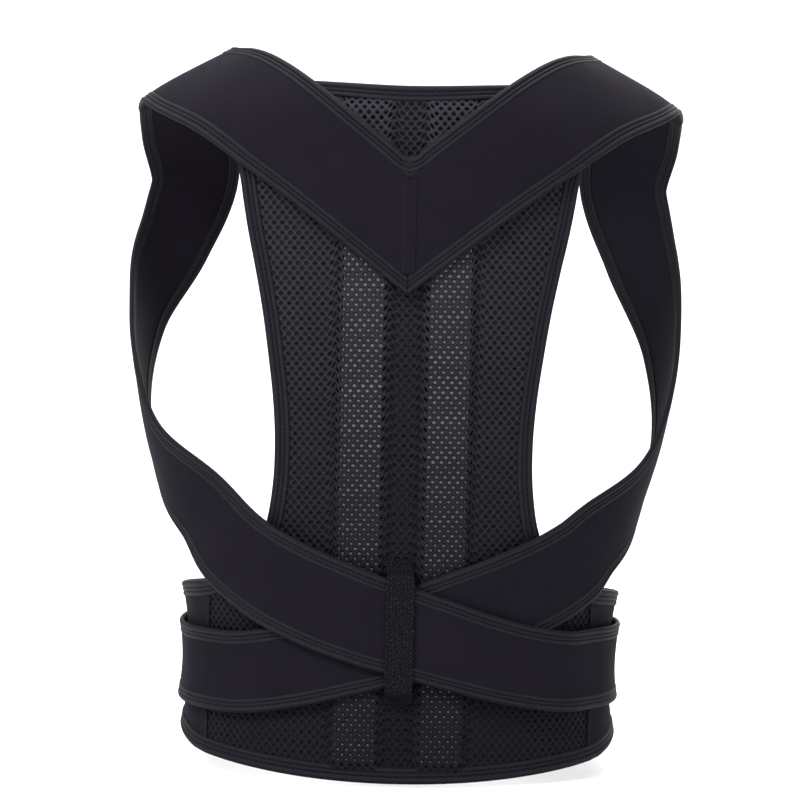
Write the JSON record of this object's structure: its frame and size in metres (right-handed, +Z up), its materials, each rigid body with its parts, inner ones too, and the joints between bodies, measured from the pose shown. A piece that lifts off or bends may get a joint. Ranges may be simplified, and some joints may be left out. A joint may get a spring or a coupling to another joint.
{
  "type": "posture corrector",
  "caption": "Mesh-back posture corrector in its worn form: V yoke, shoulder straps that cross on the lower back through a keeper, flat stays and a waist belt.",
  "frame": {"origin": "middle of the belt's hollow, at half the height of the belt", "axes": "+Z up along the worn form, -Y out of the back panel, +X to the right seen from behind"},
  "size_m": [0.377, 0.246, 0.4704],
  "materials": {
    "mesh": "open spacer mesh, matt black",
    "stay": "plain grey strip under the mesh",
    "strap_cloth": "smooth brushed knit, matt blue-black",
    "edge_tape": "ribbed elastic binding, matt black",
    "webbing": "coarse woven elastic, matt black",
    "hook": "plain hook tape, black"
  },
  "bodies": {
    "root": {"back_panel": "mesh", "stay_left": "stay", "stay_right": "stay", "channel_left": "mesh", "channel_right": "mesh", "belt_wing_left": "strap_cloth", "belt_wing_right": "strap_cloth", "neck_tape": "edge_tape", "side_tape_left": "edge_tape", "side_tape_right": "edge_tape", "hem_tape": "edge_tape", "shoulder_strap_left": "strap_cloth", "strap_tape_left_neck": "edge_tape", "strap_tape_left_arm": "edge_tape", "shoulder_strap_right": "strap_cloth", "strap_tape_right_neck": "edge_tape", "strap_tape_right_arm": "edge_tape", "yoke_seam": "webbing", "keeper_loop": "webbing", "belt_hook": "hook", "hook_tab_left": "hook", "hook_tab_right": "hook"}
  },
  "joints": []
}
